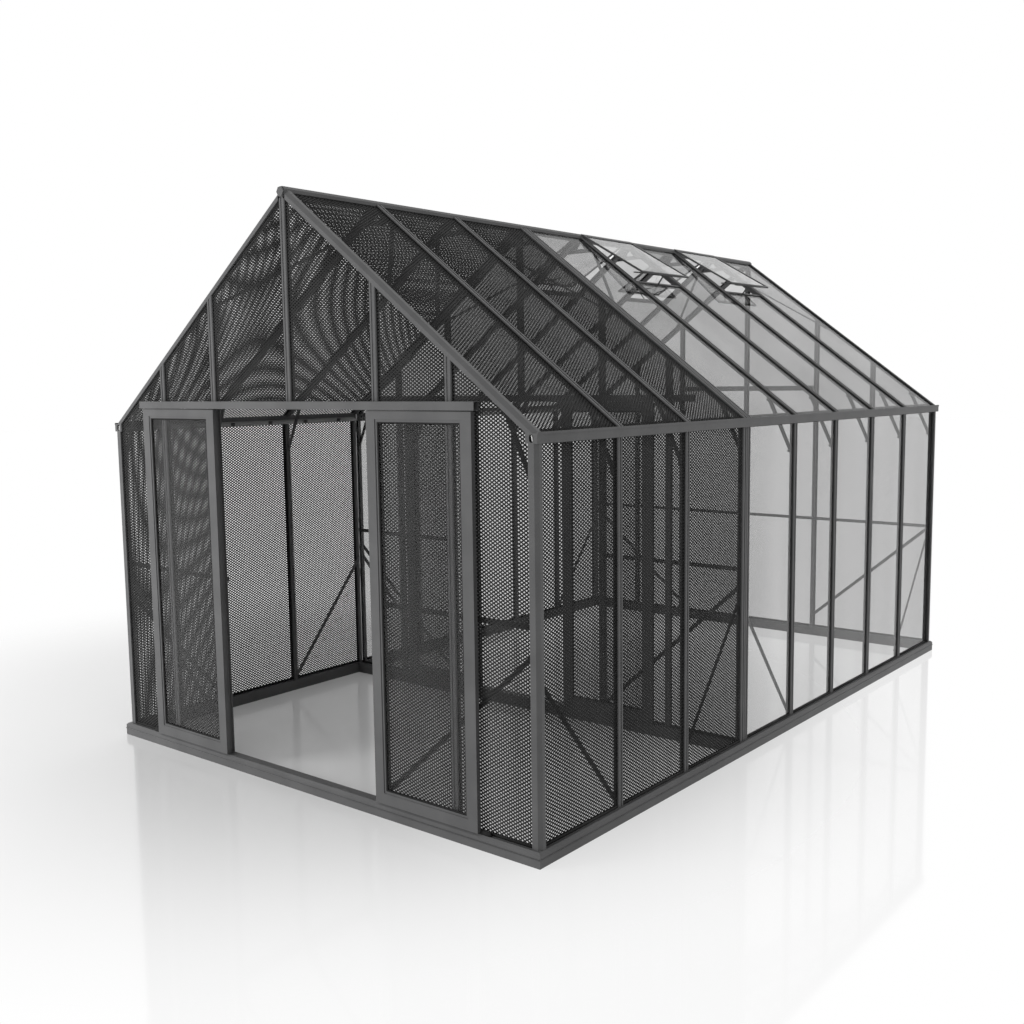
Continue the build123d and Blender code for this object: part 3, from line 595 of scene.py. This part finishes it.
plinth_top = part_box("base_front")[1].z
wall_faces = {f"{side}_wall_{sheet}": normal
              for sheet in ("mesh", "glass") for side, normal in wall_normals.items()}
gable_faces = {"front_gable_mesh": -BACK, "back_gable_glass": BACK, "partition_glass": -BACK}
for node, normal in wall_faces.items():
    pane_seals(node, normal, f"{node}_seals")
for side in ("right", "left"):
    pane_seals(f"{side}_roof_mesh", roof_normals[side], f"{side}_roof_mesh_seals")
    pane_seals(f"{side}_roof_glass", roof_normals[side], f"{side}_roof_glass_seals")
seals = [sill_seals(node, normal) for node, normal in (wall_faces | gable_faces).items()]
add_mesh_piece("sill_seals", *joined(seals), rubber, "house", "mesh")
strips = [eave_strips(node, normal) for node, normal in wall_faces.items()]
add_mesh_piece("eave_strips", *joined(strips), hinge_alloy, "house", "frame")
clips = [eave_clips(node, normal) for node, normal in wall_faces.items()]
add_mesh_piece("eave_clips", *joined(clips), hanger_coat, "house", "hanger")


def door_gaskets(leaf, sheet):
    """Black gasket round the opening of a door leaf, in front of its sheet and behind it."""
    low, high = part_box(sheet)
    corners = np.array([(low.x, 0, low.z), (high.x, 0, low.z),
                        (high.x, 0, high.z), (low.x, 0, high.z)])
    lip = GASKET_WIDTH * GASKET_LIP_SHARE
    section = [(0, 0), (GASKET_WIDTH, 0), (lip, GASKET_DEPTH), (0, GASKET_DEPTH)]
    outside = loop_strip(corners + low.y * BACK, -BACK, section)
    inside = loop_strip(corners[::-1] + high.y * BACK, BACK, section)
    add_mesh_piece(f"{leaf}_gaskets", *joined([outside, inside]), rubber, leaf, "mesh")


def door_brushes(leaf, door, track):
    """Brush strip along the front edge of the top of a door leaf, most of the way up to its track."""
    low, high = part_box(door)
    reach = (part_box(track)[0].z - high.z) * BRUSH_SHARE
    start, end = np.array([low.x, low.y, high.z]), np.array([high.x, low.y, high.z])
    section = box_section(BRUSH_INSET, BRUSH_INSET + BRUSH_WIDTH, 0, reach)
    bars = straight_bars(start, end, BACK, UP, section)
    add_mesh_piece(f"{leaf}_brush", *bars, hanger_coat, leaf, "hanger")


for side in ("right", "left"):
    for pair in ("front", "partition"):
        door_gaskets(f"{pair}_{side}_leaf", f"{pair}_{side}_door_glass")
        door_brushes(f"{pair}_{side}_leaf", f"{pair}_{side}_door", f"{pair}_door_track")


def plinth_beads():
    """Raised bead along the outer face of the plinth, mitred at its four corners."""
    low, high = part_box("base_front")[0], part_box("base_back")[1]
    turns = np.array([(low.x, low.y), (high.x, low.y), (high.x, high.y), (low.x, high.y)])
    corners = np.column_stack([turns, np.full(4, PLINTH_BEAD_PLACE)])
    foot, head = (share * PLINTH_BEAD_HEIGHT for share in PLINTH_BEAD_SHARES)
    section = [(0, 0), (0, PLINTH_BEAD_HEIGHT), (-PLINTH_BEAD_DEPTH, head), (-PLINTH_BEAD_DEPTH, foot)]
    beads = loop_strip(corners, UP, section)
    add_mesh_piece("plinth_beads", *beads, frame_coat, "house", "frame")


def bolt_heads(places, axes):
    """Washers with eight-sided heads, as points and quads.

    Point = place + ring's radius times (cosine of the angle times first + sine of it times second) +
    ring's height times the axis, where first and second are square to the axis.
    """
    places, axes = np.array(places), np.array(axes)
    axes = axes / np.linalg.norm(axes, axis=1)[:, None]
    helper = np.where(np.abs(axes[:, 2:]) > UPRIGHT, RIGHT, UP)
    first = np.cross(helper, axes)
    first /= np.linalg.norm(first, axis=1)[:, None]
    second = np.cross(axes, first)
    angle = np.arange(BOLT_SIDES) * 2 * math.pi / BOLT_SIDES
    rings = np.array(BOLT_RINGS)
    radius, height = rings[:, 0][:, None, None], rings[:, 1][:, None, None]
    round_it = np.cos(angle)[:, None] * first[:, None] + np.sin(angle)[:, None] * second[:, None]
    points = places[:, None, None] + radius * round_it[:, None] + height * axes[:, None, None]
    ring, side = np.meshgrid(np.arange(len(rings) - 1), np.arange(BOLT_SIDES), indexing="ij")
    after = (side + 1) % BOLT_SIDES
    walls = np.stack([
        ring * BOLT_SIDES + side, ring * BOLT_SIDES + after,
        (ring + 1) * BOLT_SIDES + after, (ring + 1) * BOLT_SIDES + side,
    ], axis=-1).reshape(-1, 4)
    cap = cap_quads(BOLT_SIDES)
    one = np.vstack([walls, cap + (len(rings) - 1) * BOLT_SIDES, cap[:, ::-1]])
    quads = np.arange(len(places))[:, None, None] * (len(rings) * BOLT_SIDES) + one
    return points.reshape(-1, 3), quads.reshape(-1, 4)


def flat_ends(points):
    """Places near the two ends of a flat bar, on its face towards the house's middle, and the face's axes.

    The bar's longest and thinnest directions are the first and last axes of its spread of points.
    """
    centre = (points.min(axis=0) + points.max(axis=0)) / 2
    _, _, axes = np.linalg.svd(points - points.mean(axis=0))
    along, axis = axes[0], axes[2]
    if axis @ (house_middle - centre) < 0:
        axis = -axis
    reach = np.abs((points - centre) @ along).max() - BOLT_INSET
    face = centre + ((points - centre) @ axis).max() * axis
    return [face - reach * along, face + reach * along], [axis, axis]


def frame_bolts():
    """Bolts at the ends of wind and knee braces, where rails cross bars, and on the ridge gussets."""
    places, axes = [], []
    for points in node_solids("wind_braces"):
        ends, ways = flat_ends(points)
        places += ends
        axes += ways
    for points in node_solids("eave_braces"):
        ends, _ = flat_ends(points)
        places += [np.array([end[0], points[:, 1].min(), end[2]]) for end in ends]
        axes += [-BACK, -BACK]
    bar_places = [points[:, 0].mean() for points in node_solids("back_gable_bars")]
    for points in node_solids("mid_rails"):
        low, high = points.min(axis=0), points.max(axis=0)
        in_front = low[1] < 0
        crossed = [x for x in bar_places if low[0] < x < high[0]]
        inner = high[1] if in_front else low[1]
        places += [np.array([x, inner, (low[2] + high[2]) / 2]) for x in crossed]
        axes += [BACK if in_front else -BACK] * len(crossed)
    for points in node_solids("ridge_gussets"):
        low, high = points.min(axis=0), points.max(axis=0)
        for share in GUSSET_BOLT_SHARES:
            edge = high[2] - abs(share) * (high[2] - low[2])
            places.append(np.array([share * high[0], low[1], (edge + low[2]) / 2]))
            axes.append(-BACK)
    add_mesh_piece("frame_bolts", *bolt_heads(places, axes), bolt_coat, "house", "brace")


def door_stops():
    """Rubber block on the plinth past the outer edge of each front leaf."""
    parts = []
    for side, sign in (("right", 1), ("left", -1)):
        low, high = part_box(f"front_{side}_door")
        outer = (high.x if sign > 0 else low.x) + sign * STOP_GAP
        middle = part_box("base_front")[0].y + STOP_WIDTH
        start = np.array([outer, middle, plinth_top])
        half, slope = STOP_WIDTH / 2, STOP_HEIGHT * STOP_SLOPE
        shoulder = STOP_HEIGHT - slope
        section = [(-half, 0), (half, 0), (half, shoulder),
                   (half - slope, STOP_HEIGHT), (slope - half, STOP_HEIGHT), (-half, shoulder)]
        parts.append(straight_bars(start, start + sign * STOP_LENGTH * RIGHT, BACK, UP, section))
    add_mesh_piece("door_stops", *joined(parts), rubber, "house", "mesh")


def vent_arms():
    """Two flat arms under each vent, from the lower bar of its sash to the sill below it."""
    sills = [points.mean(axis=0) for points in node_solids("vent_sills")]
    starts, ends = [], []
    for sash in node_solids("vent_sashes"):
        outer = np.abs(sash[:, 0]).max()
        lip = sash[np.abs(sash[:, 0]) > outer - SASH_LIP]
        sign = np.sign(lip[0, 0])
        sill = min(sills, key=lambda place: np.linalg.norm(place - lip.mean(axis=0)))
        for offset in (-ARM_SPREAD, ARM_SPREAD):
            starts.append((sign * (outer - ARM_INSET), sill[1] + offset, lip[:, 2].min() + ARM_LIFT))
            ends.append((sill[0] - sign * ARM_REACH, sill[1] + offset * ARM_TAPER,
                         sill[2] + ARM_REACH * roof_rise))
    starts, ends = np.array(starts), np.array(ends)
    across = np.cross(ends - starts, BACK)
    across /= np.linalg.norm(across, axis=1)[:, None]
    half, thick = ARM_WIDTH / 2, ARM_THICKNESS / 2
    bars = straight_bars(starts, ends, across, BACK, box_section(-half, half, -thick, thick))
    add_mesh_piece("vent_arms", *bars, hanger_coat, "house", "hanger")


def vent_hinges():
    """Pale hinge strip over each vent, from the flat top of the ridge to the upper bar of the sash."""
    ridge = node_solids("ridge_beam")[0]
    top = ridge[:, 2].max()
    edge = ridge[ridge[:, 2] > top - HINGE_THICKNESS, 0].max()
    parts = []
    for sash in node_solids("vent_sashes"):
        head = sash[np.argmax(sash[:, 2])]
        reach = abs(head[0])
        section = [(edge, top), (reach, head[2]),
                   (reach, head[2] + HINGE_THICKNESS), (edge, top + HINGE_THICKNESS)]
        start, end = sash[:, 1].min() * BACK, sash[:, 1].max() * BACK
        parts.append(straight_bars(start, end, np.sign(head[0]) * RIGHT, UP, section))
    add_mesh_piece("vent_hinges", *joined(parts), hinge_alloy, "house", "frame")


def gutter_slot_light():
    """Pale tongue just behind the slot in the front end of each gutter, leaning to one side: painted light
    for the bright gap seen through the slot.
    """
    half = SLOT_LIGHT_RADIUS / 2
    section = [(-SLOT_LIGHT_RADIUS, 0), (-half, -SLOT_LIGHT_RADIUS), (half, -SLOT_LIGHT_RADIUS),
               (SLOT_LIGHT_RADIUS, 0), (half, SLOT_LIGHT_RADIUS), (-half, SLOT_LIGHT_RADIUS)]
    parts = []
    for side, sign in (("right", 1), ("left", -1)):
        low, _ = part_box(f"{side}_gutter")
        middle = np.array([SLOT_LIGHT_PLACE * sign, low.y + SLOT_LIGHT_DEPTH, SLOT_LIGHT_HEIGHT])
        lean = np.array([-sign * SLOT_LIGHT_LEAN, 0, SLOT_LIGHT_LENGTH / 2])
        parts.append(straight_bars(middle - lean, middle + lean, RIGHT, BACK, section))
    add_mesh_piece("gutter_slot_light", *joined(parts), slot_light_paint, "house", "frame")


cad_middle = (cad_low + cad_high) / 2
house_middle = np.array([cad_middle.x, cad_middle.y, cad_middle.z])
plinth_beads()
frame_bolts()
door_stops()
vent_arms()
vent_hinges()
gutter_slot_light()


def add_seen_rays(tree):
    """1 for what is seen straight, through glass or in a mirror, and 0 for light that falls on things."""
    path = tree.nodes.new("ShaderNodeLightPath")
    total = path.outputs["Is Camera Ray"]
    for name in ("Is Transmission Ray", "Is Glossy Ray"):
        either = tree.nodes.new("ShaderNodeMath")
        either.operation = "MAXIMUM"
        tree.links.new(total, either.inputs[0])
        tree.links.new(path.outputs[name], either.inputs[1])
        total = either.outputs["Value"]
    return total


def make_floor():
    """Pale floor that takes shadow and a soft mirror image; painted white light is mixed into what is seen
    of it, a tenth near the house's left front and all of it far away.
    """
    ring = np.linspace(0, 2 * math.pi, FLOOR_SIDES, endpoint=False)
    rim = np.stack([np.cos(ring), np.sin(ring), 0 * ring], axis=1) * FLOOR_RADIUS
    mesh = bpy.data.meshes.new("studio_floor")
    mesh.from_pydata(rim.tolist(), [], [list(range(FLOOR_SIDES))])
    floor = bpy.data.objects.new("studio_floor", mesh)
    bpy.context.scene.collection.objects.link(floor)
    material, tree, output = new_material("studio_floor")
    shader = tree.nodes.new("ShaderNodeBsdfPrincipled")
    shader.inputs["Base Color"].default_value = FLOOR_TONE
    shader.inputs["Roughness"].default_value = FLOOR_ROUGHNESS
    white = tree.nodes.new("ShaderNodeEmission")
    mirror = tree.nodes.new("ShaderNodeBsdfGlossy")
    mirror.inputs["Color"].default_value = WHITE
    mirror.inputs["Roughness"].default_value = MIRROR_ROUGHNESS
    sheen = tree.nodes.new("ShaderNodeFresnel")
    sheen.inputs["IOR"].default_value = FLOOR_SHEEN
    far = tree.nodes.new("ShaderNodeMixShader")
    tree.links.new(sheen.outputs["Fac"], far.inputs["Fac"])
    tree.links.new(white.outputs["Emission"], far.inputs[1])
    tree.links.new(mirror.outputs["BSDF"], far.inputs[2])
    place = tree.nodes.new("ShaderNodeTexCoord")
    reach = tree.nodes.new("ShaderNodeVectorMath")
    reach.operation = "DISTANCE"
    reach.inputs[1].default_value = FADE_CENTRE
    tree.links.new(place.outputs["Object"], reach.inputs[0])
    # Share of painted white light, growing with distance from FADE_CENTRE
    fade = tree.nodes.new("ShaderNodeMapRange")
    fade.interpolation_type = "SMOOTHSTEP"
    fade.inputs["From Min"].default_value = FADE_START
    fade.inputs["From Max"].default_value = FADE_END
    fade.inputs["To Min"].default_value = FADE_LEAST
    tree.links.new(reach.outputs["Value"], fade.inputs["Value"])
    shown = tree.nodes.new("ShaderNodeMath")
    shown.operation = "MULTIPLY"
    tree.links.new(fade.outputs["Result"], shown.inputs[0])
    tree.links.new(add_seen_rays(tree), shown.inputs[1])
    mix = tree.nodes.new("ShaderNodeMixShader")
    tree.links.new(shown.outputs["Value"], mix.inputs["Fac"])
    tree.links.new(shader.outputs["BSDF"], mix.inputs[1])
    tree.links.new(far.outputs["Shader"], mix.inputs[2])
    tree.links.new(mix.outputs["Shader"], output.inputs["Surface"])
    mesh.materials.append(material)


def make_world():
    """White for the camera, mirrors and glass; a plain even light for everything else."""
    world = bpy.data.worlds.new("studio")
    bpy.context.scene.world = world
    world.use_nodes = True
    tree = world.node_tree
    tree.nodes.clear()
    output = tree.nodes.new("ShaderNodeOutputWorld")
    light = tree.nodes.new("ShaderNodeBackground")
    light.inputs["Strength"].default_value = WORLD_LIGHT
    seen = tree.nodes.new("ShaderNodeBackground")
    for white in (light, seen):
        white.inputs["Color"].default_value = WHITE
    mix = tree.nodes.new("ShaderNodeMixShader")
    tree.links.new(add_seen_rays(tree), mix.inputs["Fac"])
    tree.links.new(light.outputs["Background"], mix.inputs[1])
    tree.links.new(seen.outputs["Background"], mix.inputs[2])
    tree.links.new(mix.outputs["Shader"], output.inputs["Surface"])


def make_key_light():
    """One large soft lamp in front of the house, to the left, that no pane mirrors."""
    lamp = bpy.data.lights.new("key", "AREA")
    lamp.energy = KEY_POWER
    lamp.size = KEY_SIZE
    holder = bpy.data.objects.new("key", lamp)
    bpy.context.scene.collection.objects.link(holder)
    holder.location = KEY_PLACE
    holder.visible_glossy = False
    holder.visible_transmission = False
    aim = Vector(KEY_AIM) - Vector(KEY_PLACE)
    holder.rotation_euler = aim.to_track_quat("-Z", "Y").to_euler()


def make_camera():
    """Camera turned by yaw about the upright, then pitched and rolled."""
    camera = bpy.data.objects.new("camera", bpy.data.cameras.new("camera"))
    bpy.context.scene.collection.objects.link(camera)
    camera.data.lens = CAMERA_LENS
    camera.data.sensor_width = CAMERA_SENSOR
    yaw = Matrix.Rotation(CAMERA_YAW, 4, "Z")
    pitch = Matrix.Rotation(math.pi / 2 + CAMERA_PITCH, 4, "X")
    roll = Matrix.Rotation(CAMERA_ROLL, 4, "Z")
    camera.matrix_world = Matrix.Translation(CAMERA_PLACE) @ yaw @ pitch @ roll
    bpy.context.scene.camera = camera


make_floor()
make_world()
make_key_light()
make_camera()
bpy.context.scene.view_settings.view_transform = "Standard"
